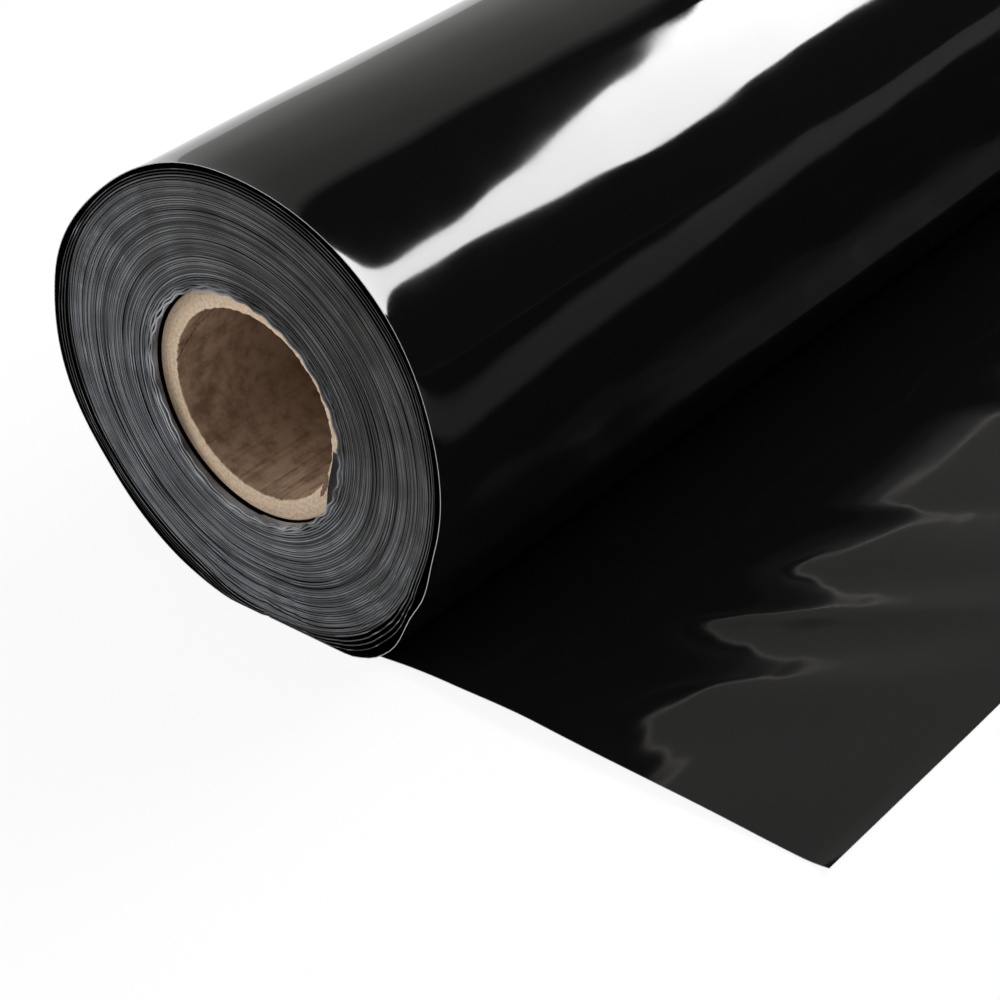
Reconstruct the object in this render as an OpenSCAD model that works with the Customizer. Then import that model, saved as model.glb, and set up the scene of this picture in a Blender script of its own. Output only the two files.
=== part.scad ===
// Roll of black plastic sheeting on a cardboard core, with its free end pulled out flat on the floor.
// The roll lies along X. The free end runs to -Y, and the floor is at z = 0.
// The origin is on the floor, straight under the middle of the core.

/* [Roll] */
// Width of the film, which is the length of the roll
roll_w = 600; // [200:10:1200]
// Diameter of the tight part of the roll
roll_d = 183; // [150:1:260]
// Turns drawn between the core and the outside, each standing for several of the real film
turns = 24; // [12:1:30]
// Gap drawn between one turn and the next
turn_gap = 0.3; // [0.2:0.05:0.5]
// Share of its depth by which a gap widens and narrows along the winding
gap_change = 0.6; // [0:0.1:0.8]
// Scale of the dents and bulges of the soft roll
unevenness = 1; // [0:0.1:1.5]

/* [Core] */
// Bore of the cardboard core
core_bore_d = 76.2; // [50:0.1:90]
// Wall of the cardboard core
core_wall = 8.5; // [4:0.5:12]
// Depth of the core's ends behind the film's edges
core_recess = 4.2; // [1:0.1:10]
// Clearance between the core and the first turn
core_clearance = 0.3; // [0.2:0.05:0.8]
// Depth of the torn ply in the near end of the core
tear_depth = 1.5; // [0.5:0.1:3]
// Length of the torn ply round the core's end
tear_len = 7; // [3:0.5:15]

/* [Film] */
// Thickness of the single film
film_t = 0.3; // [0.2:0.05:0.6]
// Clearance between films that lie on each other under the roll
lay_gap = 0.15; // [0.1:0.05:0.3]

/* [Loose turns] */
// Scale of the slack in the outermost turns
looseness = 1; // [0.3:0.1:1.5]
// Share of the slack that lies inside the last but one turn
inner_share = 0.35; // [0:0.05:0.6]

/* [Sheet] */
// Reach of the free end, from under the roll's axis to the cut edge
sheet_reach = 247; // [180:1:600]
// Sideways drift of the free end along the roll
sheet_drift = 6.7; // [0:0.1:20]
// Height of the low hump in the free end
hump_h = 4; // [0:0.5:10]
// Length that lies flat along the cut edge
flat_rim = 40; // [10:5:60]

/* [Start flap] */
// Width of the film's starting flap across the core's wall
flap_w = 6.5; // [3:0.5:8]
// Length of the flap's free edge
flap_drop = 30; // [10:1:40]
// Distance of the flap in front of the core's end
flap_stand_off = 1.2; // [0.3:0.1:3]

/* [Hidden] */

// Angle between the points along the tight winding, and along the loose turn
step_angle = 8;
loose_step_angle = 3;
roll_r = roll_d / 2;
core_r = core_bore_d / 2 + core_wall;
first_turn_r = (core_r + core_clearance) / cos(step_angle / 2);
pitch = (roll_r - first_turn_r - film_t - turn_gap) / (turns - 1);
layer_h = film_t + lay_gap;
axis_h = roll_r + 2 * layer_h;
core_len = roll_w - 2 * core_recess;

last_tight_a = 360 * (turns - 1);
loose_a = 360 * turns;
end_a = loose_a + 360;

// How fast the bulges fade towards the core, as a power of the depth
bulge_fade = 1.5;
// Two rates at which the gaps change along the winding, out of step with its turns
gap_wave = 0.83;
gap_drift = 0.061;

// Both tables go by the angle from the roll's lowest line: 90 is the sheet's side, 180 the top.
// Shape of the soft roll: angle, and the bulge there
BULGE = [
    [0, 0], [10, 2.5], [23, 4.4], [37, 3], [55, -0.4], [73, -3], [90, -2.8], [135, 0.2],
    [180, 0], [215, -0.3], [257, 1.8], [307, -1], [333, -2.2], [352, 0.6], [360, 0]
];
// Slack of the outermost turns: angle, and the outermost one's distance from the tight roll
SLACK = [
    [0, 0], [22, 4], [33, 7], [52, 3], [70, 2], [100, 2.7], [140, 4.2], [180, 2.8],
    [220, 1.6], [255, 4], [285, 6.5], [307, 5], [330, 6], [360, 0]
];

// Free end: overlap under the roll, start and end of the hump, spacing of the points
sheet_under = 12;
hump_from = roll_r / 2;
hump_to = sheet_reach - flat_rim;
sheet_step = 4;

// Flap on the core's end: angles of its root's ends, lean of its free edge, depth of its root in the winding
flap_top_a = 84;
flap_low_a = 48;
flap_lean = 14;
flap_root = 1;

// Torn ply: distance from the bore, angle and width on the core's end
tear_in = 1.5;
tear_a = 62;
tear_w = 1.2;

// Value at a in a table of [angle, value] rows, eased from row to row
function eased(table, a, i = 0) =
    (a <= table[i + 1][0] || i == len(table) - 2)
    ? table[i][1] + (table[i + 1][1] - table[i][1])
        * (1 - cos(180 * (a - table[i][0]) / (table[i + 1][0] - table[i][0]))) / 2
    : eased(table, a, i + 1);

// Angle within the turn, from the roll's lowest line
function around(a) = a - 360 * floor(a / 360);

// Radius of the round spiral's inner face at winding angle a
function spiral_r(a) =
    a < 360 ? first_turn_r : first_turn_r + film_t + turn_gap + pitch * (a - 360) / 360;

// Gap outside the winding at angle a, which changes slowly from turn to turn
function gap_at(a) = turn_gap * (1 + gap_change * sin(a * gap_wave) * sin(a * gap_drift));

// Thickness drawn at winding angle a: bundled turns, then thinning to the single film
function thickness(a) =
    a < last_tight_a ? spiral_r(a + 360) - spiral_r(a) - gap_at(a)
    : a < loose_a ? lerp(pitch - turn_gap, film_t, (a - last_tight_a) / 360)
    : film_t;

function lerp(from, to, share) = from + (to - from) * share;

// Round radius r with the soft roll's bulges, which grow towards the outside
function soft_r(r, a) =
    let (depth = max(0, r - first_turn_r) / (roll_r - first_turn_r))
    r + unevenness * eased(BULGE, around(a)) * pow(depth, bulge_fade);

// Slack inside the web at winding angle a: none in the tight turns, then shared by the last two
function slack(a) =
    a < last_tight_a ? 0
    : looseness * eased(SLACK, around(a)) * (a < loose_a ? inner_share : 1 - inner_share);

// Radii of the web's outer and inner faces at winding angle a
function outer_r(a) =
    a < loose_a ? soft_r(spiral_r(a) + thickness(a), a) + slack(a) : inner_r(a) + film_t;
function inner_r(a) =
    a < loose_a ? soft_r(spiral_r(a), a) + slack(a) : outer_r(a - 360) + turn_gap + slack(a);

// Number of films that lie under the web where it passes below the roll
function films_below(a) = a < last_tight_a + 180 ? 2 : a < loose_a + 180 ? 1 : 0;

// Point of the web at radius r and winding angle a, kept above the films below it
function web_point(r, a, above) =
    [r * sin(a), max(axis_h - r * cos(a), films_below(a) * layer_h + above)];

function web_outline() =
    let (
        tight = [for (a = [0 : step_angle : loose_a - step_angle]) a],
        loose = [for (a = [loose_a : loose_step_angle : end_a]) a],
        angles = concat(tight, loose)
    )
    concat(
        [for (a = angles) web_point(inner_r(a), a, film_t)],
        [[sheet_under, film_t], [sheet_under, 0]],
        [for (i = [len(angles) - 1 : -1 : 0]) web_point(outer_r(angles[i]), angles[i], 0)]
    );

// Height of the free end's underside at distance s from the axis
function hump_at(s) =
    s < hump_from || s > hump_to ? 0
    : hump_h * (1 - cos(360 * (s - hump_from) / (hump_to - hump_from))) / 2;

function sheet_outline() =
    let (
        n = ceil((sheet_reach + sheet_under) / sheet_step),
        reach = [for (i = [0 : n]) lerp(-sheet_under, sheet_reach, i / n)]
    )
    concat(
        [for (s = reach) [s, hump_at(s)]],
        [for (i = [n : -1 : 0]) [reach[i], hump_at(reach[i]) + film_t]]
    );

// Draws a section across the roll and extrudes it, from x_near along the roll
module along_roll(x_near, length) {
    translate([x_near + length, 0, 0])
        rotate([90, 0, -90])
            linear_extrude(length) children();
}

module wound_web() {
    along_roll(-roll_w / 2, roll_w)
        polygon(web_outline());
}

module free_end() {
    along_roll(-roll_w / 2 + sheet_drift, roll_w)
        polygon(sheet_outline());
}

// The film's start, bent in over the core's near end
module start_flap() {
    edge = core_r - flap_w;
    root = first_turn_r + flap_root;
    top = [sin(flap_top_a), -cos(flap_top_a)];
    along_roll(-roll_w / 2 + core_recess - flap_stand_off - film_t, film_t)
        translate([0, axis_h])
            polygon(concat(
                [edge * top, [edge * top[0] - flap_drop * tan(flap_lean), edge * top[1] - flap_drop]],
                [for (a = [flap_low_a : step_angle / 2 : flap_top_a]) root * [sin(a), -cos(a)]]
            ));
}

module film() {
    color("#1b1c1f") {
        wound_web();
        free_end();
        start_flap();
    }
}

module core_tube() {
    color("#cdb594")
        difference() {
            along_roll(-core_len / 2, core_len)
                translate([0, axis_h])
                    circle(r = core_r, $fn = 120);
            along_roll(-core_len / 2 - 1, core_len + 2)
                translate([0, axis_h])
                    circle(d = core_bore_d, $fn = 120);
            torn_ply();
        }
}

// Sliver of a ply that tore out of the core's near end
module torn_ply() {
    along_roll(-core_len / 2 - 1, tear_depth + 1)
        translate([0, axis_h])
            rotate(tear_a - 90)
                translate([core_bore_d / 2 + tear_in, 0])
                    square([tear_w, tear_len], center = true);
}

core_tube();
film();
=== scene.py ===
"""Looks of a roll of black plastic sheeting: wound film, loose turn, free end, cardboard core and studio."""

import math

import bmesh
import bpy
import numpy as np
from mathutils import Matrix, Vector


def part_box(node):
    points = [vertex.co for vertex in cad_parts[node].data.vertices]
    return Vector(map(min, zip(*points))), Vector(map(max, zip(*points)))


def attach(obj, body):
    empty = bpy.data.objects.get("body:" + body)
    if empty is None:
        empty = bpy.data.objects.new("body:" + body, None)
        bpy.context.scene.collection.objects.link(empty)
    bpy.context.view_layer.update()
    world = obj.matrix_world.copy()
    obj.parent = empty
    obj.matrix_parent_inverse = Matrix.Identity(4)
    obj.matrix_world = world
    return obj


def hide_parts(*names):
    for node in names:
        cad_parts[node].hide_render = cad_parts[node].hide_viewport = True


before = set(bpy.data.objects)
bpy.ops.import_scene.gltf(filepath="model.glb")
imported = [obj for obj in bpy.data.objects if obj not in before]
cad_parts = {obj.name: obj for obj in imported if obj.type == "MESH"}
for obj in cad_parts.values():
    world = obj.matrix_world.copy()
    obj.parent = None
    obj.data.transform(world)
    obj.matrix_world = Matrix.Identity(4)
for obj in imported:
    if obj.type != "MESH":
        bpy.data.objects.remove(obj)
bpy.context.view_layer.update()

bl_info = {
    "name": "Roll of plastic sheeting",
    "version": (1, 0, 0),
    "blender": (4, 5, 0),
    "location": "View3D > Sidebar > Film roll",
    "description": "Makes the film, the core and the studio of a roll of plastic sheeting",
    "category": "Object",
}

# Places that the solids give: the core's axis, the roll's ends and the free end's edges
CORE_LOW, CORE_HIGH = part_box("core_tube")
FILM_LOW, FILM_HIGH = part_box("film")
AXIS_HEIGHT = (CORE_LOW.z + CORE_HIGH.z) / 2
CORE_RADIUS = (CORE_HIGH.z - CORE_LOW.z) / 2
CORE_HALF = CORE_HIGH.x
NEAR_END = FILM_LOW.x
FAR_END = -FILM_LOW.x
DRIFT = FILM_HIGH.x - FAR_END
CUT_EDGE = -FILM_LOW.y

# Both tables go by the angle from the roll's lowest line, in degrees: 90 is the free end's side, 180 the top.
# Shape of the soft roll: angle, and the bulge there in millimetres
BULGE = (
    (0, 0), (10, 2.5), (23, 4.4), (37, 3), (55, -0.4), (73, -3), (90, -2.8), (135, 0.2),
    (180, 0), (215, -0.3), (257, 1.8), (307, -1), (333, -2.2), (352, 0.6), (360, 0),
)
# Slack of the outermost turn at the near end: angle, and its distance from the tight roll in millimetres
SLACK = (
    (0, 0), (22, 4), (33, 7), (52, 3), (70, 2), (100, 2.7), (140, 4.2), (180, 2.8),
    (220, 1.6), (255, 4), (285, 6.5), (307, 5), (330, 6), (360, 0),
)
# Low hump of the free end, inside it and at its near edge: distance from the axis in millimetres, and the
# slope there in degrees. The rise is scaled to the fall, so that the sheet comes back to the floor.
HUMP_INSIDE = (
    (45, 0), (58, 10), (75, 7), (95, 2.5), (108, 0), (122, -1.8), (137, -3.7), (150, -4.4), (165, -4.4),
    (178, -3.6), (195, -1.9), (212, 0),
)
HUMP_AT_EDGE = (
    (45, 0), (55, 8), (70, 4.5), (85, 1), (94, 0), (118, -1.2), (142, -1.8), (166, -2.1), (190, -1.9),
    (214, -0.6), (225, 0),
)
# Low folds that run slantwise across the free end: place across them in millimetres, and slope in degrees
FOLDS = (
    (-400, 0), (-375, 1.5), (-352, -1), (-336, -1.2), (-326, -1.1), (-303, 2), (-288, 0), (-281, -3.3),
    (-273, -3.3), (-252, 3.5), (-248.5, 3.8), (-243, -2.9), (-236, -2.9), (-218, 2.1), (-202, -0.3),
    (-187, -2.5), (-182.5, -2.4), (-177, 1.5), (-150, 0.9), (-118, 0.9), (-106, -2), (-80, 1.6), (-52, -2),
    (-24, 2), (-14, -1.6), (24, 1.8), (48, -2), (80, 1.6), (104, -1.8), (136, 2), (146, -1.4), (176, 1.7),
    (210, -1.6), (240, 0),
)
# Direction across the folds: along the roll, and away from it
ACROSS_FOLDS = (0.753, -0.658)
# Soft waves in the loose turn: height in millimetres, wavelength along the roll in millimetres,
# waves round the turn, and where the wave starts, in degrees
LOOSE_WAVES = ((0.18, 260, 2, 20), (0.08, 130, -4, 140), (0.032, 62, 6, 260), (0.01, 37, -9, 75))
# Angle at which the innermost edges lean in furthest, in degrees from the lowest line, and how much more
LIP_SAG_ANGLE = 298
LIP_SAG = 5
# Studio: half width of the floor, reach of the flag along and away from the roll, and their heights
FLOOR_HALF = 6.0
FLAG_REACH = 5.8
FLOOR_Z = -0.0002
FLAG_Z = -0.0001
# How far the free end starts behind the lowest line, under the roll
SHEET_UNDER = 0.004
# Size of the worn bevel on the core's edges
EDGE_BEVEL = 0.0003
# Starting flap: angles of its root's ends, and its free edge's ends as distances beside and above the axis
FLAP_TOP_ANGLE, FLAP_LOW_ANGLE = 84, 48
FLAP_EDGE_TOP = (0.0401, -0.0042)
FLAP_EDGE_LOW = (0.0327, -0.0342)
MM = 0.001


class FilmSizes(bpy.types.PropertyGroup):
    """Sizes of the film, its winding and its free end"""

    film_t: bpy.props.FloatProperty(
        name="Film thickness", description="Thickness of the single film",
        default=0.0003, unit="LENGTH", precision=5)
    roll_radius: bpy.props.FloatProperty(
        name="Roll radius", description="Radius of the tight part of the roll",
        default=0.0915, unit="LENGTH", precision=4)
    first_radius: bpy.props.FloatProperty(
        name="First turn", description="Radius of the innermost turn",
        default=CORE_RADIUS + 0.0006, unit="LENGTH", precision=4)
    turns: bpy.props.IntProperty(
        name="Turns", description="Turns that show in the ends of the roll", default=52, min=8, max=80)
    turn_steps: bpy.props.IntProperty(
        name="Points per turn", description="Points along one turn", default=150, min=24, max=160)
    fill: bpy.props.FloatProperty(
        name="Fill", description="Share of a turn's pitch that is film", default=0.86, subtype="FACTOR")
    edge_scatter: bpy.props.FloatProperty(
        name="Edge scatter", description="How far the turns' edges stand in and out",
        default=0.0011, unit="LENGTH", precision=4)
    frill: bpy.props.FloatProperty(
        name="Frill", description="Height of the waves in the innermost turns' edges",
        default=0.0011, unit="LENGTH", precision=4)
    frill_depth: bpy.props.FloatProperty(
        name="Frill depth", description="How far the waves reach in from the roll's ends",
        default=0.0035, unit="LENGTH", precision=4)
    layer_gap: bpy.props.FloatProperty(
        name="Layer gap", description="Clearance between films that lie on each other",
        default=0.00015, unit="LENGTH", precision=5)
    hump_scale: bpy.props.FloatProperty(
        name="Hump scale", description="Scale of the hump and the folds in the free end",
        default=1, subtype="FACTOR")
    corner_curl: bpy.props.FloatProperty(
        name="Corner curl", description="Height by which the free end's near corner curls up",
        default=0.0012, unit="LENGTH", precision=4)
    rim_flare: bpy.props.FloatProperty(
        name="Rim flare", description="How far the loose turn's near edge stands out",
        default=0.0005, unit="LENGTH", precision=4)
    loose_turns: bpy.props.FloatProperty(
        name="Loose turns", description="Number of turns that come loose under the outermost one", default=4)
    inner_share: bpy.props.FloatProperty(
        name="Inner share", description="Share of the slack that the turns under the outermost one take",
        default=0.68, subtype="FACTOR")


class FilmLooks(bpy.types.PropertyGroup):
    """Colours and finish of the film, with the painted sheen and highlights of its edges"""

    colour: bpy.props.FloatVectorProperty(
        name="Film colour", description="Colour of the film", default=(0.003, 0.003, 0.0032), subtype="COLOR")
    roughness: bpy.props.FloatProperty(
        name="Film roughness", description="Roughness of the film's face", default=0.065, subtype="FACTOR")
    edge_dark: bpy.props.FloatVectorProperty(
        name="Dark edges", description="Colour between the turns' edges",
        default=(0.003, 0.003, 0.0035), subtype="COLOR")
    # painted sheen: the lit and the shaded copy of the edges' colour stand in for light that the black film's
    # edges catch, lit at the lower side and shaded at the top
    edge_lit: bpy.props.FloatVectorProperty(
        name="Light edges", description="Colour of the lightest of the turns' edges",
        default=(0.25, 0.262, 0.285), subtype="COLOR")
    edge_shaded: bpy.props.FloatVectorProperty(
        name="Shaded upper edges", description="Colour of the light edges at the top, painted darker as shade",
        default=(0.085, 0.082, 0.077), subtype="COLOR")
    # painted highlight: the pale grey of the cut rim, also used for the edges' glints and lip
    rim: bpy.props.FloatVectorProperty(
        name="Cut rim", description="Painted highlight on the single film's cut rim",
        default=(0.35, 0.36, 0.38), subtype="COLOR")


class CoreLooks(bpy.types.PropertyGroup):
    """Sizes and colours of the cardboard core"""

    bore_radius: bpy.props.FloatProperty(
        name="Bore radius", description="Radius of the core's bore",
        default=0.0381, unit="LENGTH", precision=4)
    edge_wear: bpy.props.FloatProperty(
        name="Edge wear", description="How ragged the bore's edges are",
        default=0.0004, unit="LENGTH", precision=4)
    tear_in: bpy.props.FloatProperty(
        name="Tear from bore", description="Distance of the torn ply from the bore",
        default=0.0015, unit="LENGTH", precision=4)
    tear_slant: bpy.props.FloatProperty(
        name="Tear slant", description="How far the torn ply's ends turn from and to the bore",
        default=0.0012, unit="LENGTH", precision=4)
    tear_angle: bpy.props.FloatProperty(
        name="Tear angle", description="Place of the torn ply, in degrees from the lowest line", default=56)
    tear_length: bpy.props.FloatProperty(
        name="Tear length", description="Length of the torn ply", default=0.0115, unit="LENGTH", precision=4)
    tear_width: bpy.props.FloatProperty(
        name="Tear width", description="Width of the torn ply", default=0.0026, unit="LENGTH", precision=4)
    kraft: bpy.props.FloatVectorProperty(
        name="Kraft", description="Colour of the brown board in the bore",
        default=(0.43, 0.29, 0.19), subtype="COLOR")
    kraft_dark: bpy.props.FloatVectorProperty(
        name="Dark kraft", description="Colour of the darker patches in the bore",
        default=(0.22, 0.13, 0.078), subtype="COLOR")
    cut_board: bpy.props.FloatVectorProperty(
        name="Cut board", description="Colour of the core's cut ends",
        default=(0.63, 0.475, 0.335), subtype="COLOR")
    seam_lead: bpy.props.FloatProperty(
        name="Seam lead", description="Length of the core along which its seam goes round once",
        default=0.154, unit="LENGTH", precision=3)
    seam_place: bpy.props.FloatProperty(
        name="Seam place", description="Where the seam meets the near end, as a share of a turn",
        default=0.024, subtype="FACTOR")


class StudioSettings(bpy.types.PropertyGroup):
    """Camera and lights"""

    azimuth: bpy.props.FloatProperty(
        name="Azimuth", description="Camera's direction round the roll, in degrees", default=-48.84)
    elevation: bpy.props.FloatProperty(
        name="Elevation", description="Camera's height above the floor, in degrees", default=33.66)
    roll: bpy.props.FloatProperty(
        name="Camera roll", description="Turn of the picture, in degrees", default=-3.13)
    lens: bpy.props.FloatProperty(
        name="Lens", description="Focal length for a sensor 36 mm wide, in mm", default=92.55)
    place: bpy.props.FloatVectorProperty(
        name="Camera place", description="Where the camera stands", default=(-0.8335, -0.5853, 0.5719),
        subtype="TRANSLATION", unit="LENGTH")
    room_light: bpy.props.FloatProperty(
        name="Room light", description="Strength of the room's light on the roll", default=0.5)
    panel_gloss: bpy.props.FloatProperty(
        name="Back panel in reflections", description="Brightness of the panel behind the roll, as mirrored",
        default=0.32)
    room_gloss: bpy.props.FloatProperty(
        name="Room in reflections", description="Brightness of the dim room, as mirrored", default=0.015)


def place_of(angle, radius, x):
    """Point on the roll at an angle from its lowest line, in radians, and a radius."""
    return np.stack([x, -radius * np.sin(angle), AXIS_HEIGHT - radius * np.cos(angle)], axis=-1)


def eased(table, degrees):
    """Values of a table of (angle, value) rows at these angles, eased from row to row."""
    angles = np.array([row[0] for row in table], float)
    values = np.array([row[1] for row in table], float)
    degrees = np.asarray(degrees, float)
    row = np.clip(np.searchsorted(angles, degrees, side="right") - 1, 0, len(angles) - 2)
    share = (degrees - angles[row]) / (angles[row + 1] - angles[row])
    share = (1 - np.cos(np.pi * np.clip(share, 0, 1))) / 2
    return values[row] + (values[row + 1] - values[row]) * share


def new_piece(name, points, faces, materials, face_material=None, smooth=True):
    """Mesh object at the origin, from points and faces."""
    mesh = bpy.data.meshes.new(name)
    mesh.from_pydata([tuple(p) for p in points], [], [tuple(int(i) for i in f) for f in faces])
    for material in materials:
        mesh.materials.append(material)
    if face_material is not None:
        mesh.polygons.foreach_set("material_index", np.asarray(face_material, dtype=np.int32))
    mesh.polygons.foreach_set("use_smooth", np.full(len(mesh.polygons), smooth))
    mesh.update()
    piece = bpy.data.objects.new(name, mesh)
    bpy.context.scene.collection.objects.link(piece)
    return piece


def new_material(name):
    """Empty node material, with its tree and its shader."""
    material = bpy.data.materials.new(name)
    material.use_nodes = True
    tree = material.node_tree
    shader = tree.nodes["Principled BSDF"]
    return material, tree, shader


def node(tree, kind, inputs=None, **settings):
    """Node of a kind. inputs maps a socket's name or number to a value or to the socket that feeds it."""
    made = tree.nodes.new(kind)
    for key, value in settings.items():
        setattr(made, key, value)
    for key, value in (inputs or {}).items():
        if isinstance(value, bpy.types.NodeSocket):
            tree.links.new(value, made.inputs[key])
        else:
            made.inputs[key].default_value = value
    return made


def maths(tree, operation, first, second=0.0, third=0.0):
    """Result of a maths node."""
    inputs = {0: first, 1: second, 2: third}
    return node(tree, "ShaderNodeMath", inputs, operation=operation).outputs[0]


def times(tree, first, second):
    return maths(tree, "MULTIPLY", first, second)


def plus(tree, first, second):
    return maths(tree, "ADD", first, second)


def minus(tree, first, second):
    return maths(tree, "SUBTRACT", first, second)


def colour_mix(tree, share, first, second):
    """Colour between two colours."""
    mixer = node(tree, "ShaderNodeMix", data_type="RGBA")
    for socket, value in ((mixer.inputs[0], share), (mixer.inputs[6], first), (mixer.inputs[7], second)):
        if isinstance(value, bpy.types.NodeSocket):
            tree.links.new(value, socket)
        elif socket.type == "RGBA":
            socket.default_value = (*value[:3], 1)
        else:
            socket.default_value = value
    return mixer.outputs[2]


def remap(tree, value, low, high, to_low=0.0, to_high=1.0):
    """Value taken from one range to another, and kept inside it."""
    inputs = {"Value": value, "From Min": low, "From Max": high, "To Min": to_low, "To Max": to_high}
    return node(tree, "ShaderNodeMapRange", inputs).outputs["Result"]


def noise_at(tree, spot, scale, detail, roughness=0.5):
    """Cloudy noise at these coordinates."""
    inputs = {"Vector": spot, "Scale": scale, "Detail": detail, "Roughness": roughness}
    return node(tree, "ShaderNodeTexNoise", inputs).outputs["Fac"]


def bump(tree, shader, height, strength, distance):
    """Roughens a shader's surface with a height."""
    made = node(tree, "ShaderNodeBump", {"Height": height, "Strength": strength, "Distance": distance})
    tree.links.new(made.outputs[0], shader.inputs["Normal"])


def polar(tree):
    """Object coordinates round the core's axis: x, radius and turn from 0 to 1."""
    spot = node(tree, "ShaderNodeTexCoord").outputs["Object"]
    split = node(tree, "ShaderNodeSeparateXYZ", {0: spot})
    x, y = split.outputs[0], split.outputs[1]
    z = minus(tree, split.outputs[2], AXIS_HEIGHT)
    squares = plus(tree, times(tree, y, y), times(tree, z, z))
    radius = maths(tree, "SQRT", squares)
    turn = maths(tree, "DIVIDE", maths(tree, "ARCTAN2", z, y), 2 * math.pi)
    return spot, x, radius, turn


def rings(tree, track, scale, detail):
    """Noise that changes only with the radius, for fine lines round the axis."""
    inputs = {"W": track, "Scale": scale, "Detail": detail}
    return node(tree, "ShaderNodeTexNoise", inputs, noise_dimensions="1D").outputs["Fac"]


def film_face_material():
    """Glossy black face of the film, with slight waves from its winding and faint smudges."""
    looks = bpy.context.scene.film_looks
    material, tree, shader = new_material("film_face")
    spot, _, radius, _ = polar(tree)
    shader.inputs["Base Color"].default_value = (*looks.colour, 1)
    shader.inputs["IOR"].default_value = 1.5
    smudges = noise_at(tree, spot, 26.0, 5.0, 0.6)
    low, high = looks.roughness * 0.8, looks.roughness * 1.5
    rough = remap(tree, smudges, 0.35, 0.75, low, high)
    rough = plus(tree, rough, remap(tree, radius, 0.05, 0.06, 0.4, 0))
    tree.links.new(rough, shader.inputs["Roughness"])
    tree.links.new(remap(tree, radius, 0.05, 0.06, 0.08, 0.5), shader.inputs["Specular IOR Level"])
    across = node(tree, "ShaderNodeMapping", {"Vector": spot, "Scale": (3.0, 26.0, 26.0)})
    waves = noise_at(tree, across.outputs[0], 1.0, 2.0)
    grain = noise_at(tree, spot, 420.0, 2.0)
    height = maths(tree, "MULTIPLY_ADD", grain, 0.004, waves)
    bump(tree, shader, height, 1.0, 0.0006)
    return material


def film_edge_material():
    """Cut edges of the turns, seen end on: fine light and dark lines that follow the winding. The light lines
    are a painted sheen, lit at the lower side away from the free end and shaded at the top, with painted
    glints and a pale painted lip at the core.
    """
    looks = bpy.context.scene.film_looks
    material, tree, shader = new_material("film_edges")
    spot, _, radius, _ = polar(tree)
    wander = noise_at(tree, spot, 30.0, 1.0)
    track = maths(tree, "MULTIPLY_ADD", wander, 0.0016, radius)
    fine = rings(tree, track, 1350.0, 3.0)
    broad = rings(tree, track, 360.0, 2.0)
    glints = rings(tree, track, 1700.0, 1.0)
    patches = noise_at(tree, spot, 60.0, 3.0)
    groups = remap(tree, broad, 0.34, 0.58, 0.12, 1)
    lines = times(tree, remap(tree, fine, 0.4, 0.6, 0.06, 1), groups)
    light = times(tree, lines, remap(tree, patches, 0.3, 0.7, 0.6, 1))
    light = times(tree, light, remap(tree, radius, 0.087, 0.0915, 1, 0.4))
    # from 0 at the upper side of the free end to 1 at the lower side away from it: painted light, which mixes
    # the shaded and the lit copy of the edges' colour
    split = node(tree, "ShaderNodeSeparateXYZ", {0: spot})
    height = minus(tree, split.outputs[2], AXIS_HEIGHT)
    slant = maths(tree, "DIVIDE", minus(tree, split.outputs[1], height), radius)
    slant = remap(tree, slant, -1.3, 1.0)
    tone = colour_mix(tree, slant, looks.edge_shaded, looks.edge_lit)
    colour = colour_mix(tree, light, looks.edge_dark, tone)
    # painted glints: thin lines in the pale rim colour, more of them at the lit side
    shine = remap(tree, glints, 0.58, 0.66)
    glint = times(tree, shine, remap(tree, slant, 0, 1, 0.25, 0.55))
    glint = times(tree, glint, remap(tree, patches, 0.42, 0.58))
    colour = colour_mix(tree, glint, colour, looks.rim)
    # painted sheen: a pale lip in the rim's highlight colour along the innermost turns' frilled edges, in
    # patches and lighter at the lit side
    lip = remap(tree, radius, CORE_RADIUS + 0.0014, CORE_RADIUS + 0.0034, 1, 0)
    lip_patches = remap(tree, patches, 0.38, 0.6, 0.2, 1)
    lip = times(tree, lip, times(tree, lip_patches, remap(tree, slant, 0.1, 0.9, 0.3, 1)))
    colour = colour_mix(tree, lip, colour, looks.rim)
    tree.links.new(colour, shader.inputs["Base Color"])
    shader.inputs["Roughness"].default_value = 0.42
    shader.inputs["Specular IOR Level"].default_value = 0.2
    bump(tree, shader, fine, 0.7, 0.0003)
    return material


def film_flap_material():
    """Creased film of the starting flap, with most of its gloss rubbed off."""
    looks = bpy.context.scene.film_looks
    material, tree, shader = new_material("film_flap")
    spot = node(tree, "ShaderNodeTexCoord").outputs["Object"]
    shader.inputs["Base Color"].default_value = (*looks.colour, 1)
    shader.inputs["Specular IOR Level"].default_value = 0.12
    rubs = noise_at(tree, spot, 160.0, 3.0)
    tree.links.new(remap(tree, rubs, 0.35, 0.65, 0.3, 0.5), shader.inputs["Roughness"])
    bump(tree, shader, rubs, 0.6, 0.0006)
    return material


def film_rim_material():
    """Cut rim of the single film, painted pale grey as a highlight that stands for the light it catches: a
    thin pale line.
    """
    looks = bpy.context.scene.film_looks
    material, tree, shader = new_material("film_rim")
    spot = node(tree, "ShaderNodeTexCoord").outputs["Object"]
    uneven_highlight = noise_at(tree, spot, 120.0, 3.0)
    share = remap(tree, uneven_highlight, 0.3, 0.6, 0.55, 1)
    tree.links.new(colour_mix(tree, share, looks.edge_lit, looks.rim), shader.inputs["Base Color"])
    shader.inputs["Roughness"].default_value = 0.35
    return material


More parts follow.
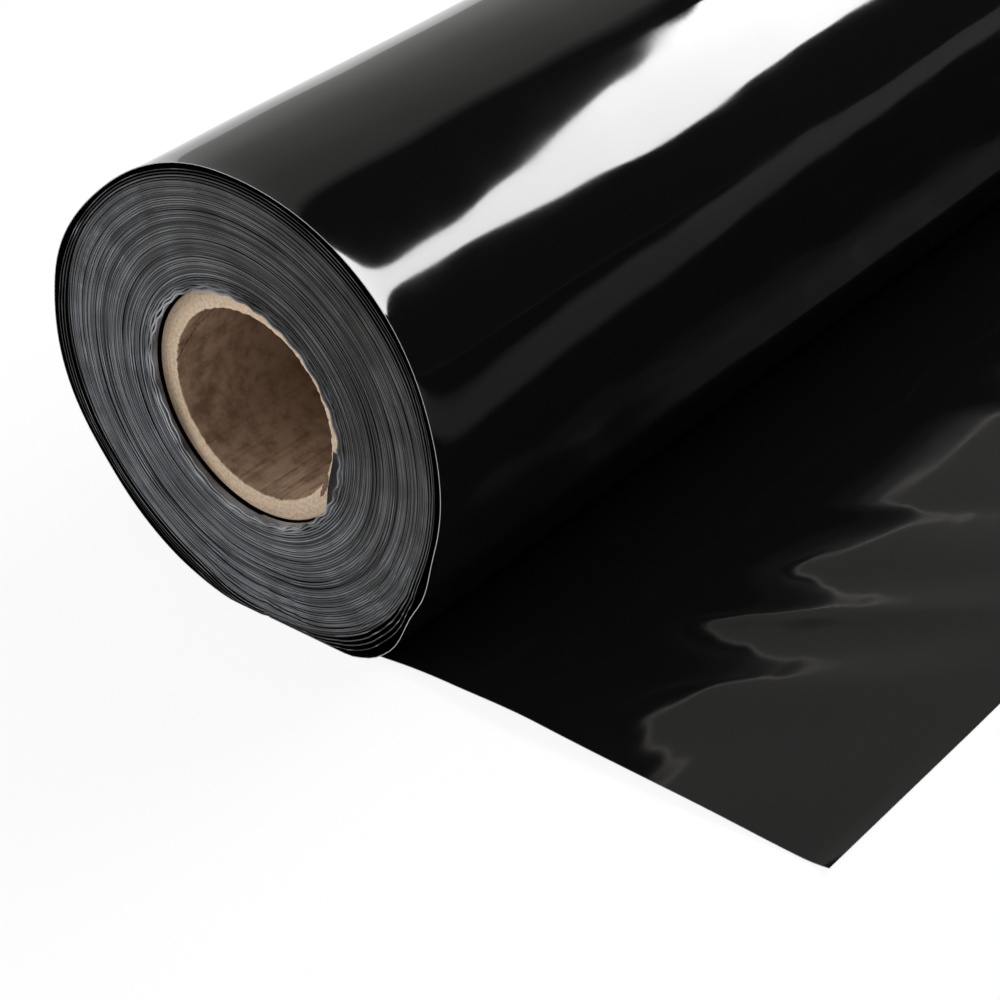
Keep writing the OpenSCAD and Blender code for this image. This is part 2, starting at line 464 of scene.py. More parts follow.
def kraft_material():
    """Mottled brown board of the core's walls, with the spiral seam of its inner ply."""
    looks = bpy.context.scene.core_looks
    material, tree, shader = new_material("core_kraft")
    spot, x, _, turn = polar(tree)
    blotches = noise_at(tree, spot, 150.0, 5.0, 0.6)
    clouds = noise_at(tree, spot, 30.0, 2.0)
    fibres_map = node(tree, "ShaderNodeMapping", {"Vector": spot, "Scale": (160.0, 900.0, 900.0)})
    fibres = noise_at(tree, fibres_map.outputs[0], 1.0, 3.0)
    mottle = times(tree, clouds, 0.35)
    mottle = maths(tree, "MULTIPLY_ADD", blotches, 0.65, mottle)
    mottle = maths(tree, "MULTIPLY_ADD", minus(tree, fibres, 0.5), 0.015, mottle)
    colour = colour_mix(tree, remap(tree, mottle, 0.4, 0.57), looks.kraft_dark, looks.kraft)
    from_end = maths(tree, "DIVIDE", plus(tree, x, CORE_HALF), looks.seam_lead)
    from_place = minus(tree, turn, looks.seam_place - 0.5)
    along = maths(tree, "FRACT", minus(tree, from_place, from_end))
    from_seam = maths(tree, "ABSOLUTE", minus(tree, along, 0.5))
    seam = remap(tree, from_seam, 0.002, 0.0045, 1, 0)
    colour = colour_mix(tree, times(tree, seam, 0.75), colour, (0.07, 0.04, 0.025))
    tree.links.new(colour, shader.inputs["Base Color"])
    shader.inputs["Roughness"].default_value = 0.82
    height = minus(tree, blotches, times(tree, seam, 2.0))
    bump(tree, shader, height, 0.4, 0.0003)
    return material


def cut_board_material():
    """Cut end of the core: pale board with the faint rings of its plies."""
    looks = bpy.context.scene.core_looks
    material, tree, shader = new_material("core_cut_board")
    spot, _, radius, _ = polar(tree)
    wander = noise_at(tree, spot, 90.0, 2.0)
    track = maths(tree, "MULTIPLY_ADD", wander, 0.0008, radius)
    plies = rings(tree, track, 1500.0, 2.0)
    fuzz = noise_at(tree, spot, 700.0, 3.0)
    tone = maths(tree, "MULTIPLY_ADD", plies, 0.35, times(tree, fuzz, 0.65))
    darker = tuple(c * 0.72 for c in looks.cut_board)
    colour = colour_mix(tree, remap(tree, tone, 0.38, 0.56), darker, looks.cut_board)
    brown = tuple(c * s for c, s in zip(looks.cut_board, (0.6, 0.5, 0.42)))
    rim = remap(tree, radius, CORE_RADIUS - 0.0011, CORE_RADIUS - 0.0002)
    colour = colour_mix(tree, times(tree, rim, 0.5), colour, brown)
    tree.links.new(colour, shader.inputs["Base Color"])
    shader.inputs["Roughness"].default_value = 0.85
    bump(tree, shader, tone, 0.45, 0.0003)
    return material


def torn_ply_material():
    """Brown fibres where a ply tore out."""
    material, tree, shader = new_material("core_torn_ply")
    spot = node(tree, "ShaderNodeTexCoord").outputs["Object"]
    fibres = noise_at(tree, spot, 900.0, 3.0)
    colour = colour_mix(tree, fibres, (0.09, 0.05, 0.03), (0.2, 0.12, 0.075))
    tree.links.new(colour, shader.inputs["Base Color"])
    shader.inputs["Roughness"].default_value = 0.9
    return material


def material_of(name, maker):
    """Material of that name, made the first time."""
    return bpy.data.materials.get(name) or maker()


def film_materials():
    """Face, edge and rim materials of the film."""
    face = material_of("film_face", film_face_material)
    edges = material_of("film_edges", film_edge_material)
    rim = material_of("film_rim", film_rim_material)
    return face, edges, rim


WINDING_INPUTS = (
    ("Turns", "NodeSocketFloat"), ("Points", "NodeSocketInt"), ("First Radius", "NodeSocketFloat"),
    ("Roll Radius", "NodeSocketFloat"), ("Half Width", "NodeSocketFloat"), ("Axis Height", "NodeSocketFloat"),
    ("Floor Gap", "NodeSocketFloat"), ("Fill", "NodeSocketFloat"), ("Edge Scatter", "NodeSocketFloat"),
    ("Loose Turns", "NodeSocketFloat"), ("Inner Share", "NodeSocketFloat"),
    ("Frill", "NodeSocketFloat"), ("Frill Depth", "NodeSocketFloat"), ("Seed", "NodeSocketFloat"),
    ("Face", "NodeSocketMaterial"), ("Edges", "NodeSocketMaterial"),
)
# Points round the section of the web: outer side near to far, then inner side far to near
SECTION_POINTS = 8


def table_curve(tree, table, turn):
    """Value of a table in metres, at a place along the winding counted in turns."""
    low = min(value for _, value in table)
    span = max(value for _, value in table) - low
    ease = node(tree, "ShaderNodeFloatCurve", {"Value": maths(tree, "FRACT", turn)})
    curve = ease.mapping.curves[0]
    curve.points[0].location = (0, (table[0][1] - low) / span)
    curve.points[1].location = (1, (table[-1][1] - low) / span)
    for angle, value in table[1:-1]:
        curve.points.new(angle / 360, (value - low) / span)
    ease.mapping.update()
    return maths(tree, "MULTIPLY_ADD", ease.outputs[0], span * MM, low * MM)


def winding_tree():
    """Geometry nodes that wind the web: a strip with a small section, led along a spiral."""
    tree = bpy.data.node_groups.new("Winding", "GeometryNodeTree")
    for name, kind in WINDING_INPUTS:
        tree.interface.new_socket(name=name, in_out="INPUT", socket_type=kind)
    tree.interface.new_socket(name="Geometry", in_out="OUTPUT", socket_type="NodeSocketGeometry")
    given = tree.nodes.new("NodeGroupInput").outputs

    def noise(place, scale, offset):
        start = plus(tree, given["Seed"], offset)
        shifted = plus(tree, times(tree, place, scale), start)
        inputs = {"W": shifted, "Scale": 1.0, "Detail": 1.0}
        return node(tree, "ShaderNodeTexNoise", inputs, noise_dimensions="1D").outputs["Fac"]

    stations = maths(tree, "MULTIPLY_ADD", given["Turns"], given["Points"], 1.0)
    grid_inputs = {"Size X": 1.0, "Size Y": 1.0, "Vertices X": stations, "Vertices Y": SECTION_POINTS + 1}
    grid = node(tree, "GeometryNodeMeshGrid", grid_inputs)
    place = node(tree, "ShaderNodeSeparateXYZ", {0: tree.nodes.new("GeometryNodeInputPosition").outputs[0]})
    along = plus(tree, place.outputs[0], 0.5)
    corner = maths(tree, "ROUND", times(tree, plus(tree, place.outputs[1], 0.5), SECTION_POINTS))

    above_first = maths(tree, "GREATER_THAN", corner, 0.5)
    below_fifth = maths(tree, "LESS_THAN", corner, 4.5)
    outside = times(tree, above_first, below_fifth)
    # columns 0 to 3 lie at the near end, just inside it, just inside the far end, and at the far end
    inner_column = maths(tree, "MODULO", minus(tree, SECTION_POINTS, corner), SECTION_POINTS)
    outer_column = minus(tree, corner, 1.0)
    column = node(tree, "ShaderNodeMix", {0: outside, 2: inner_column, 3: outer_column}).outputs[0]
    far = maths(tree, "GREATER_THAN", column, 1.5)
    side = maths(tree, "MULTIPLY_ADD", far, 2.0, -1.0)
    from_middle = maths(tree, "ABSOLUTE", minus(tree, column, 1.5))
    from_end = minus(tree, 1.5, from_middle)
    at_end = minus(tree, 1.0, from_end)

    turn = times(tree, along, given["Turns"])
    angle = times(tree, turn, 2 * math.pi)
    depth = minus(tree, given["Roll Radius"], given["First Radius"])
    pitch = maths(tree, "DIVIDE", depth, given["Turns"])
    fill = maths(tree, "MULTIPLY_ADD", noise(turn, 2.7, 10.0), 0.3, minus(tree, given["Fill"], 0.15))
    thickness = times(tree, pitch, fill)
    round_radius = maths(tree, "MULTIPLY_ADD", depth, along, given["First Radius"])
    bulge = times(tree, table_curve(tree, BULGE, turn), maths(tree, "POWER", along, 1.5))
    loose_from = minus(tree, given["Turns"], given["Loose Turns"])
    looseness = remap(tree, turn, loose_from, given["Turns"])
    looseness = times(tree, looseness, given["Inner Share"])
    slack = times(tree, table_curve(tree, SLACK, turn), looseness)
    thickness = times(tree, thickness, minus(tree, 1.0, looseness))
    frill_fade = maths(tree, "EXPONENT", times(tree, turn, -0.55))
    frill_angle = maths(tree, "MULTIPLY_ADD", noise(turn, 3.1, 40.0), 9.0, times(tree, angle, 31.0))
    frill_lean = maths(tree, "MULTIPLY_ADD", noise(turn, 9.0, 70.0), 0.9, -1.3)
    sagging = maths(tree, "COSINE", minus(tree, angle, math.radians(LIP_SAG_ANGLE)))
    sagging = maths(tree, "POWER", maths(tree, "MAXIMUM", sagging, 0.0), 2.0)
    frill_lean = times(tree, frill_lean, maths(tree, "MULTIPLY_ADD", sagging, LIP_SAG, 1.0))
    frill_wave = maths(tree, "MULTIPLY_ADD", maths(tree, "SINE", frill_angle), 0.55, frill_lean)
    frill = times(tree, frill_wave, given["Frill"])
    frill = times(tree, frill, times(tree, frill_fade, at_end))
    radius = plus(tree, maths(tree, "MULTIPLY_ADD", outside, thickness, round_radius), slack)
    radius = plus(tree, radius, plus(tree, bulge, frill))

    scatter = times(tree, noise(turn, 11.0, 3.0), 0.35)
    scatter = plus(tree, noise(turn, 1.9, times(tree, far, 17.0)), scatter)
    scatter = times(tree, minus(tree, scatter, 0.72), given["Edge Scatter"])
    lip = times(tree, frill_fade, times(tree, given["Edge Scatter"], 1.5))
    reach = times(tree, plus(tree, scatter, lip), at_end)
    reach = plus(tree, given["Half Width"], reach)
    reach = minus(tree, reach, times(tree, from_end, given["Frill Depth"]))
    x = times(tree, reach, side)
    y = times(tree, times(tree, radius, -1.0), maths(tree, "SINE", angle))
    z = minus(tree, given["Axis Height"], times(tree, radius, maths(tree, "COSINE", angle)))
    lowest = maths(tree, "MULTIPLY_ADD", minus(tree, 1.0, outside), 0.0003, given["Floor Gap"])
    z = maths(tree, "MAXIMUM", z, lowest)
    point = node(tree, "ShaderNodeCombineXYZ", {0: x, 1: y, 2: z}).outputs[0]

    wound = node(tree, "GeometryNodeSetPosition", {"Geometry": grid.outputs["Mesh"], "Position": point})
    joined = node(tree, "GeometryNodeMergeByDistance", {"Geometry": wound.outputs[0], "Distance": 1e-6})
    solid = node(tree, "GeometryNodeRealizeInstances", {"Geometry": joined.outputs[0]})
    faced = node(tree, "GeometryNodeSetMaterial", {"Geometry": solid.outputs[0], "Material": given["Face"]})
    facing = node(tree, "ShaderNodeSeparateXYZ", {0: tree.nodes.new("GeometryNodeInputNormal").outputs[0]})
    on_end = maths(tree, "GREATER_THAN", maths(tree, "ABSOLUTE", facing.outputs[0]), 0.05)
    edge_inputs = {"Geometry": faced.outputs[0], "Selection": on_end, "Material": given["Edges"]}
    edged = node(tree, "GeometryNodeSetMaterial", edge_inputs)
    result = tree.nodes.new("NodeGroupOutput")
    tree.links.new(edged.outputs[0], result.inputs[0])
    return tree


def made_by_nodes(name, tree, values):
    """Plain mesh object that a geometry tree makes from these named values."""
    carrier = bpy.data.objects.new(name, bpy.data.meshes.new(name + "_seed"))
    bpy.context.scene.collection.objects.link(carrier)
    modifier = carrier.modifiers.new(name, "NODES")
    modifier.node_group = tree
    for item in tree.interface.items_tree:
        if item.in_out == "INPUT":
            modifier[item.identifier] = values[item.name]
    graph = bpy.context.evaluated_depsgraph_get()
    mesh = bpy.data.meshes.new_from_object(carrier.evaluated_get(graph))
    carrier.modifiers.remove(modifier)
    mesh.name = name
    carrier.data = mesh
    return carrier


def close_and_orient(piece, sharp_degrees=35):
    """Closes open loops, turns the faces outwards and keeps the sharp edges sharp."""
    work = bmesh.new()
    work.from_mesh(piece.data)
    open_edges = [e for e in work.edges if e.is_boundary]
    bmesh.ops.holes_fill(work, edges=open_edges, sides=SECTION_POINTS)
    bmesh.ops.recalc_face_normals(work, faces=work.faces)
    work.to_mesh(piece.data)
    work.free()
    piece.data.polygons.foreach_set("use_smooth", np.full(len(piece.data.polygons), True))
    piece.data.set_sharp_from_angle(angle=math.radians(sharp_degrees))


class FILM_OT_wind(bpy.types.Operator):
    """Winds the tight turns of the film on the core"""

    bl_idname = "film_roll.wind"
    bl_label = "Wind the film"

    def execute(self, context):
        sizes = context.scene.film_sizes
        face, edges, _ = film_materials()
        layer = sizes.film_t + sizes.layer_gap
        values = {
            "Turns": float(sizes.turns), "Points": sizes.turn_steps, "First Radius": sizes.first_radius,
            "Roll Radius": sizes.roll_radius, "Half Width": FAR_END, "Axis Height": AXIS_HEIGHT,
            "Floor Gap": 2 * layer, "Fill": sizes.fill, "Edge Scatter": sizes.edge_scatter,
            "Loose Turns": sizes.loose_turns, "Inner Share": sizes.inner_share,
            "Frill": sizes.frill, "Frill Depth": sizes.frill_depth, "Seed": 4.0,
            "Face": face, "Edges": edges,
        }
        winding = made_by_nodes("film_winding", winding_tree(), values)
        if len(winding.data.polygons) < 1000:
            raise RuntimeError("the winding came out empty")
        close_and_orient(winding)
        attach(winding, "root")
        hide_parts("film")
        return {"FINISHED"}


def loose_radius(degrees, x, sizes):
    """Radius of the loose turn's inner face at angles and places along the roll."""
    tight = sizes.roll_radius + 2 * sizes.layer_gap + eased(BULGE, degrees) * MM
    slack = eased(SLACK, degrees) * MM
    waves = sum(
        height * np.sin(2 * np.pi * (x / MM / length + degrees / 360 * count) + math.radians(start))
        for height, length, count, start in LOOSE_WAVES
    ) * MM
    off_floor = np.clip((1 - np.cos(np.radians(degrees))) / 1.2, 0, 1)
    flare = sizes.rim_flare * np.exp(-(x - NEAR_END) / 0.005)
    return tight + slack + (waves + flare) * off_floor


def height_from_slopes(table, places):
    """Heights at places along a table of (place in millimetres, slope in degrees) rows that ends level."""
    spots = np.linspace(table[0][0], table[-1][0], 900)
    slopes = np.tan(np.radians(np.interp(spots, *zip(*table))))
    rise, fall = slopes.clip(0).sum(), -slopes.clip(None, 0).sum()
    slopes = np.where(slopes > 0, slopes * fall / rise, slopes)
    heights = np.cumsum(slopes) * (spots[1] - spots[0])
    return np.interp(places, spots, heights, 0, 0)


def free_end_height(reach, x, sizes):
    """Height of the free end's underside at distances from the axis and places along the roll."""
    inside = np.clip((x - NEAR_END - DRIFT) / 0.1, 0, 1)
    inside = inside ** 2 * (3 - 2 * inside)
    hump = height_from_slopes(HUMP_INSIDE, reach / MM) * inside
    hump = hump + height_from_slopes(HUMP_AT_EDGE, reach / MM) * (1 - inside)
    across = (x * ACROSS_FOLDS[0] + reach * ACROSS_FOLDS[1]) / MM
    folded = np.clip((reach - 0.08) / 0.045, 0, 1) * np.clip((CUT_EDGE - reach) / 0.06, 0, 1)
    folds = (height_from_slopes(FOLDS, across) + 1) * folded ** 2 * (3 - 2 * folded)
    to_cut = np.clip((reach - CUT_EDGE + 0.012) / 0.012, 0, 1)
    to_corner = np.clip(1 - (x - NEAR_END - DRIFT) / 0.09, 0, 1)
    height = (hump + folds) * sizes.hump_scale * MM + sizes.corner_curl * to_cut ** 2 * to_corner
    return np.maximum(height, 0)


def shell(outer, inner, name, materials):
    """Thin closed sheet between two grids of points, with its rim in the second material."""
    rows, columns = outer.shape[:2]
    count = rows * columns
    points = np.concatenate([outer.reshape(-1, 3), inner.reshape(-1, 3)])
    index = np.arange(count).reshape(rows, columns)
    a, b, c, d = index[:-1, :-1], index[1:, :-1], index[1:, 1:], index[:-1, 1:]
    top = np.stack([a, b, c, d], -1).reshape(-1, 4)
    under = np.stack([d, c, b, a], -1).reshape(-1, 4) + count
    loop = np.concatenate([index[:, 0], index[-1, 1:], index[-2::-1, -1], index[0, -2:0:-1]])
    after = np.roll(loop, -1)
    rim = np.stack([after, loop, loop + count, after + count], -1)
    faces = np.concatenate([top, under, rim])
    slots = np.concatenate([np.zeros(len(top) + len(under), int), np.ones(len(rim), int)])
    piece = new_piece(name, points, faces, materials, slots)
    piece.data.set_sharp_from_angle(angle=math.radians(50))
    return piece


class FILM_OT_lay_out(bpy.types.Operator):
    """Makes the loose outer turn and the free end that lies on the floor"""

    bl_idname = "film_roll.lay_out"
    bl_label = "Lay out the free end"

    def execute(self, context):
        sizes = context.scene.film_sizes
        face, _, rim = film_materials()
        layer = sizes.film_t + sizes.layer_gap
        degrees = np.arange(0, 356, 2.5)
        reaches = np.linspace(-SHEET_UNDER, CUT_EDGE, 100)
        # the columns lie closer together near the near end, which shows the finest waves
        columns = np.linspace(0, 1, 201) ** 1.35
        turn_x = NEAR_END + (FAR_END - NEAR_END) * columns
        degree_grid, turn_x_grid = np.meshgrid(degrees, turn_x, indexing="ij")
        inner_r = loose_radius(degree_grid, turn_x_grid, sizes)
        angle_grid = np.radians(degree_grid)
        inner_turn = place_of(angle_grid, inner_r, turn_x_grid)
        outer_turn = place_of(angle_grid, inner_r + sizes.film_t, turn_x_grid)
        floor_now = np.where(degree_grid < 180, layer, 0.0)
        outer_turn[..., 2] = np.maximum(outer_turn[..., 2], floor_now)
        inner_turn[..., 2] = np.maximum(inner_turn[..., 2], floor_now + sizes.film_t)

        reach_grid, column_grid = np.meshgrid(reaches, columns, indexing="ij")
        drift = DRIFT * np.clip((reach_grid + SHEET_UNDER) / 0.03, 0, 1)
        sheet_x = NEAR_END + (FAR_END - NEAR_END) * column_grid + drift
        under = free_end_height(reach_grid, sheet_x, sizes)
        lower = np.stack([sheet_x, -reach_grid, under], -1)
        upper = lower + np.array([0, 0, sizes.film_t])
        outer = np.concatenate([outer_turn, lower])
        inner = np.concatenate([inner_turn, upper])
        piece = shell(outer, inner, "film_outer_turn_and_free_end", (face, rim))
        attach(piece, "root")
        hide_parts("film")
        return {"FINISHED"}


class FILM_OT_start_flap(bpy.types.Operator):
    """Bends the film's start in over the core's near end"""

    bl_idname = "film_roll.start_flap"
    bl_label = "Bend the starting flap"

    def execute(self, context):
        sizes = context.scene.film_sizes
        _, _, rim = film_materials()
        rows, columns = 25, 9
        down = np.linspace(0, 1, rows)[:, None]
        across = np.linspace(0, 1, columns)[None, :]
        angle = np.radians(FLAP_TOP_ANGLE + (FLAP_LOW_ANGLE - FLAP_TOP_ANGLE) * down)
        root = np.stack([sizes.first_radius * np.sin(angle), -sizes.first_radius * np.cos(angle)], -1)
        edge_top, edge_low = np.array(FLAP_EDGE_TOP), np.array(FLAP_EDGE_LOW)
        edge = edge_top + (edge_low - edge_top) * down[..., None]
        spot = edge[:, None, 0, :] * (1 - across[..., None]) + root[:, None, 0, :] * across[..., None]
        x = NEAR_END + 0.0026 - 0.0017 * across ** 3 + 0.0003 * np.sin(9 * down) * (1 - across)
        near = np.stack([x, -spot[..., 0], AXIS_HEIGHT + spot[..., 1]], -1)
        far = near + np.array([sizes.film_t, 0, 0])
        flap = material_of("film_flap", film_flap_material)
        piece = shell(near, far, "film_start_flap", (flap, rim))
        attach(piece, "root")
        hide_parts("film")
        return {"FINISHED"}


class FILM_OT_core(bpy.types.Operator):
    """Makes the cardboard core with its soft cut edges and its torn ply"""

    bl_idname = "film_roll.core"
    bl_label = "Make the core"

    def execute(self, context):
        looks = context.scene.core_looks
        kraft = material_of("core_kraft", kraft_material)
        cut = material_of("core_cut_board", cut_board_material)
        bore, outside, soft, end = looks.bore_radius, CORE_RADIUS, EDGE_BEVEL, CORE_HALF
        section = [
            (-end + soft, bore), (-end, bore + soft), (-end, (bore + outside) / 2), (-end, outside - soft),
            (-end + soft, outside), (0, outside), (end - soft, outside), (end, outside - soft),
            (end, (bore + outside) / 2), (end, bore + soft), (end - soft, bore), (0, bore),
        ]
        count = 360
        angle = np.linspace(0, 2 * np.pi, count, endpoint=False)
        wear = np.random.default_rng(5).uniform(-1, 1, count)
        wear = looks.edge_wear * (wear + np.roll(wear, 1)) / 2
        worn = [1 if r < bore + 2 * soft else 0 for x, r in section]
        loops = [place_of(angle, r + wear * share, np.full(count, x)) for (x, r), share in zip(section, worn)]
        loops = np.stack(loops, 1)
        index = np.arange(count * len(section)).reshape(count, len(section))
        turned = np.roll(index, -1, axis=0)
        shifted = np.roll(index, -1, axis=1)
        both = np.roll(turned, -1, axis=1)
        faces = np.stack([index, shifted, both, turned], -1).reshape(-1, 4)
        on_end = [0, 1, 1, 0, 0, 0, 0, 1, 1, 0, 0, 0]
        slots = np.tile(on_end, count)
        piece = new_piece("core_board", loops.reshape(-1, 3), faces, (kraft, cut), slots)
        piece.data.set_sharp_from_angle(angle=math.radians(30))
        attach(piece, "root")
        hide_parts("core_tube")

        rows, columns = 15, 4
        down = np.linspace(-1, 1, rows)[:, None]
        across = np.linspace(-1, 1, columns)[None, :]
        ragged = np.random.default_rng(3).uniform(0.5, 1.1, (rows, 1))
        middle = bore + looks.tear_in - looks.tear_slant * down
        radius = middle + across * ragged * looks.tear_width / 2 * (1 - 0.8 * down ** 2)
        angle = math.radians(looks.tear_angle) + down * looks.tear_length / 2 / bore
        front = place_of(angle + 0 * radius, radius, np.full((rows, columns), -end - 0.0002))
        back = front + np.array([0.0006, 0, 0])
        torn = material_of("core_torn_ply", torn_ply_material)
        ply = shell(front, back, "core_torn_ply", (torn, torn))
        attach(ply, "root")
        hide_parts("core_tube")
        return {"FINISHED"}


def add_lamp(name, place, aim, size, power, colour=(1, 1, 1)):
    """Rectangular soft lamp that faces a point."""
    light = bpy.data.lights.new(name, "AREA")
    light.shape = "RECTANGLE"
    light.size, light.size_y = size
    light.energy = power
    light.color = colour
    lamp = bpy.data.objects.new(name, light)
    lamp.location = place
    lamp.rotation_euler = (Vector(aim) - Vector(place)).to_track_quat("-Z", "Y").to_euler()
    bpy.context.scene.collection.objects.link(lamp)
    return lamp


def dim_when_mirrored_twice(lamp, rest):
    """Leaves a share of a lamp's light, and less at its -Y end, on rays that the film has mirrored twice."""
    lamp.data.use_nodes = True
    tree = lamp.data.node_tree
    path = tree.nodes.new("ShaderNodeLightPath")
    twice = maths(tree, "GREATER_THAN", path.outputs["Glossy Depth"], 1.5)
    place = tree.nodes.new("ShaderNodeNewGeometry").outputs["Position"]
    across = node(tree, "ShaderNodeSeparateXYZ", {0: place}).outputs[1]
    rest = remap(tree, across, -0.75, 0.05, 0.2 * rest, rest)
    strength = node(tree, "ShaderNodeMix", {0: twice, 2: 1.0, 3: rest}).outputs[0]
    tree.links.new(strength, tree.nodes["Emission"].inputs["Strength"])


def floor_material():
    """White floor: plain white to the camera and in reflections, and still darkened by the roll's shadow."""
    material = bpy.data.materials.new("studio_floor")
    material.use_nodes = True
    tree = material.node_tree
    tree.nodes.clear()
    paper = node(tree, "ShaderNodeBsdfDiffuse", {"Color": (0.9, 0.9, 0.9, 1)})
    white = node(tree, "ShaderNodeEmission", {"Color": (1, 1, 1, 1), "Strength": 1.0})
    path = tree.nodes.new("ShaderNodeLightPath")
    seen = maths(tree, "MAXIMUM", path.outputs["Is Camera Ray"], path.outputs["Is Glossy Ray"])
    seen = maths(tree, "MAXIMUM", seen, path.outputs["Is Transmission Ray"])
    share = times(tree, seen, 0.9)
    mixed = node(tree, "ShaderNodeMixShader", {0: share, 1: paper.outputs[0], 2: white.outputs[0]})
    out = tree.nodes.new("ShaderNodeOutputMaterial")
    tree.links.new(mixed.outputs[0], out.inputs[0])
    return material


def flag_material():
    """Black card with a dim grey wedge, laid beside the free end, which only the film mirrors."""
    material = bpy.data.materials.new("studio_flag")
    material.use_nodes = True
    tree = material.node_tree
    tree.nodes.clear()
    spot = node(tree, "ShaderNodeTexCoord").outputs["Object"]
    split = node(tree, "ShaderNodeSeparateXYZ", {0: spot})
    x, away = split.outputs[0], times(tree, split.outputs[1], -1.0)
    near_line = maths(tree, "MULTIPLY_ADD", x, -0.39, away)
    far_line = maths(tree, "MULTIPLY_ADD", x, -0.78, away)
    wedge = times(tree, remap(tree, near_line, 0.32, 0.35), remap(tree, far_line, 0.42, 0.52, 1, 0))
    strength = maths(tree, "MULTIPLY_ADD", wedge, remap(tree, x, -0.1, 0.9, 0.16, 0.27), 0.003)
    glow = node(tree, "ShaderNodeEmission", {"Strength": strength})
    out = tree.nodes.new("ShaderNodeOutputMaterial")
    tree.links.new(glow.outputs[0], out.inputs[0])
    return material


def light_the_room(studio):
    """World: white to the camera, soft light on the roll, and a dim room with a pale panel in reflections."""
    world = bpy.data.worlds.new("studio")
    bpy.context.scene.world = world
    world.use_nodes = True
    tree = world.node_tree
    tree.nodes.clear()
    path = tree.nodes.new("ShaderNodeLightPath")
    spot = node(tree, "ShaderNodeTexCoord").outputs["Generated"]
    towards = node(tree, "ShaderNodeSeparateXYZ", {0: spot}).outputs
    horizon = remap(tree, towards[2], 0.3, 0.62, 1.0, 0.0)
    panel_edge = maths(tree, "MULTIPLY_ADD", towards[2], -0.36, towards[1])
    panel = remap(tree, panel_edge, -0.04, 0.04)
    panel_light = maths(tree, "MULTIPLY_ADD", horizon, 0.15, studio.panel_gloss)
    twice = maths(tree, "GREATER_THAN", path.outputs["Glossy Depth"], 1.5)
    # rays mirrored twice see a narrow bright band, which draws the thin line in the free end
    band = remap(tree, panel_edge, -0.24, -0.02)
    band = times(tree, remap(tree, panel_edge, 0.17, 0.11, 0, 2.3), band)
    panel = times(tree, panel, panel_light)
    shown = node(tree, "ShaderNodeMix", {0: twice, 2: panel, 3: band}).outputs[0]
    gloss = plus(tree, shown, studio.room_gloss)
    tint = colour_mix(tree, twice, (1, 1, 0.95), (1, 0.93, 0.84))
    dim = node(tree, "ShaderNodeBackground", {"Color": tint, "Strength": gloss})
    soft = node(tree, "ShaderNodeBackground", {"Color": (0.97, 0.98, 1, 1), "Strength": studio.room_light})
    white = node(tree, "ShaderNodeBackground", {"Color": (1, 1, 1, 1), "Strength": 1.0})
    lit_inputs = {0: path.outputs["Is Glossy Ray"], 1: soft.outputs[0], 2: dim.outputs[0]}
    lit = node(tree, "ShaderNodeMixShader", lit_inputs)
    plain = maths(tree, "MAXIMUM", path.outputs["Is Camera Ray"], path.outputs["Is Transmission Ray"])
    seen = node(tree, "ShaderNodeMixShader", {0: plain, 1: lit.outputs[0], 2: white.outputs[0]})
    out = tree.nodes.new("ShaderNodeOutputWorld")
    tree.links.new(seen.outputs[0], out.inputs[0])


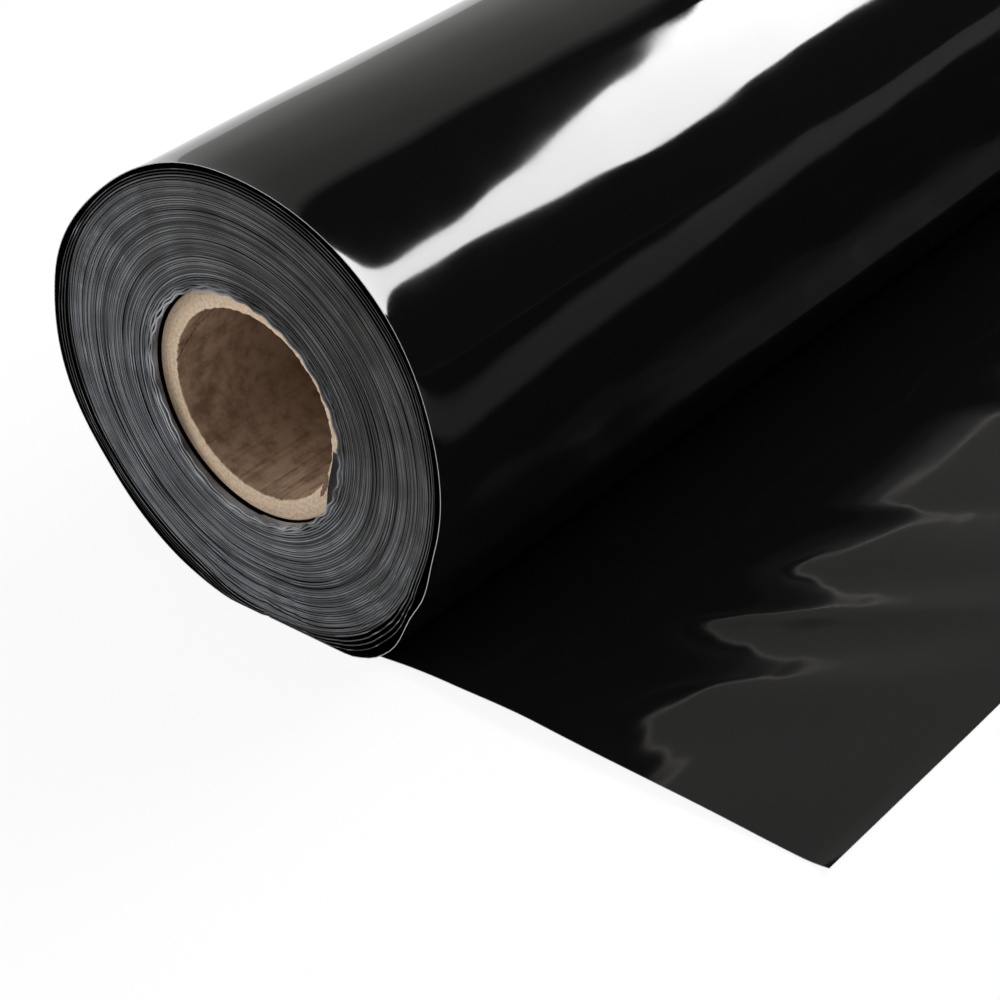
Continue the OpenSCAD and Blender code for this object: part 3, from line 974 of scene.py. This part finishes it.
class FILM_OT_studio(bpy.types.Operator):
    """Sets the white floor, the soft lamps and the camera"""

    bl_idname = "film_roll.studio"
    bl_label = "Set the studio"

    def execute(self, context):
        studio = context.scene.studio_settings
        context.scene.view_settings.view_transform = "Standard"
        half = FLOOR_HALF
        corners = [(-half, -half, 0), (half, -half, 0), (half, half, 0), (-half, half, 0)]
        floor = new_piece("studio_floor", corners, [(0, 1, 2, 3)], (floor_material(),), smooth=False)
        floor.location.z = FLOOR_Z
        light_the_room(studio)
        aim = (0, -0.03, 0.1)
        key = add_lamp("main_softbox", (1.42, -0.54, 1.3), aim, (1.34, 0.64), 44)
        dim_when_mirrored_twice(key, 0.04)
        add_lamp("left_softbox", (-1.6, 0.9, 0.8), aim, (1.2, 1.2), 14)
        near, far = 0.01 - CUT_EDGE, -FLAG_REACH
        corners = [(-FLAG_REACH, far), (FLAG_REACH, far), (FLAG_REACH, near), (-FLAG_REACH, near)]
        corners = [(x, y, FLAG_Z) for x, y in corners]
        flag = new_piece("studio_flag", corners, [(0, 1, 2, 3)], (flag_material(),), smooth=False)
        flag.visible_camera = flag.visible_diffuse = flag.visible_shadow = flag.visible_transmission = False
        lens = bpy.data.cameras.new("camera")
        lens.lens = studio.lens
        lens.sensor_width = 36
        lens.clip_start, lens.clip_end = 0.01, 50
        camera = bpy.data.objects.new("camera", lens)
        azimuth, elevation = math.radians(studio.azimuth), math.radians(studio.elevation)
        back = Vector((
            math.sin(azimuth) * math.cos(elevation),
            -math.cos(azimuth) * math.cos(elevation),
            math.sin(elevation),
        ))
        right = Vector((0, 0, 1)).cross(back).normalized()
        up = back.cross(right)
        turned = Matrix((right, up, back)).transposed() @ Matrix.Rotation(math.radians(studio.roll), 3, "Z")
        camera.matrix_world = Matrix.Translation(studio.place) @ turned.to_4x4()
        context.scene.collection.objects.link(camera)
        context.scene.camera = camera
        return {"FINISHED"}


class FILM_PT_panel(bpy.types.Panel):
    """Lists the steps that make the roll"""

    bl_label = "Film roll"
    bl_space_type = "VIEW_3D"
    bl_region_type = "UI"
    bl_category = "Film roll"

    def draw(self, context):
        for step in STEPS:
            self.layout.operator(step.bl_idname)


STEPS = (FILM_OT_wind, FILM_OT_lay_out, FILM_OT_start_flap, FILM_OT_core, FILM_OT_studio)
GROUPS = {
    "film_sizes": FilmSizes,
    "film_looks": FilmLooks,
    "core_looks": CoreLooks,
    "studio_settings": StudioSettings,
}


def register():
    for group in GROUPS.values():
        bpy.utils.register_class(group)
    for step in STEPS:
        bpy.utils.register_class(step)
    bpy.utils.register_class(FILM_PT_panel)
    for name, group in GROUPS.items():
        setattr(bpy.types.Scene, name, bpy.props.PointerProperty(type=group))


def unregister():
    for name in GROUPS:
        delattr(bpy.types.Scene, name)
    bpy.utils.unregister_class(FILM_PT_panel)
    for step in reversed(STEPS):
        bpy.utils.unregister_class(step)
    for group in reversed(list(GROUPS.values())):
        bpy.utils.unregister_class(group)


def main():
    register()
    bpy.ops.film_roll.wind()
    bpy.ops.film_roll.lay_out()
    bpy.ops.film_roll.start_flap()
    bpy.ops.film_roll.core()
    bpy.ops.film_roll.studio()


if __name__ == "__main__":
    main()
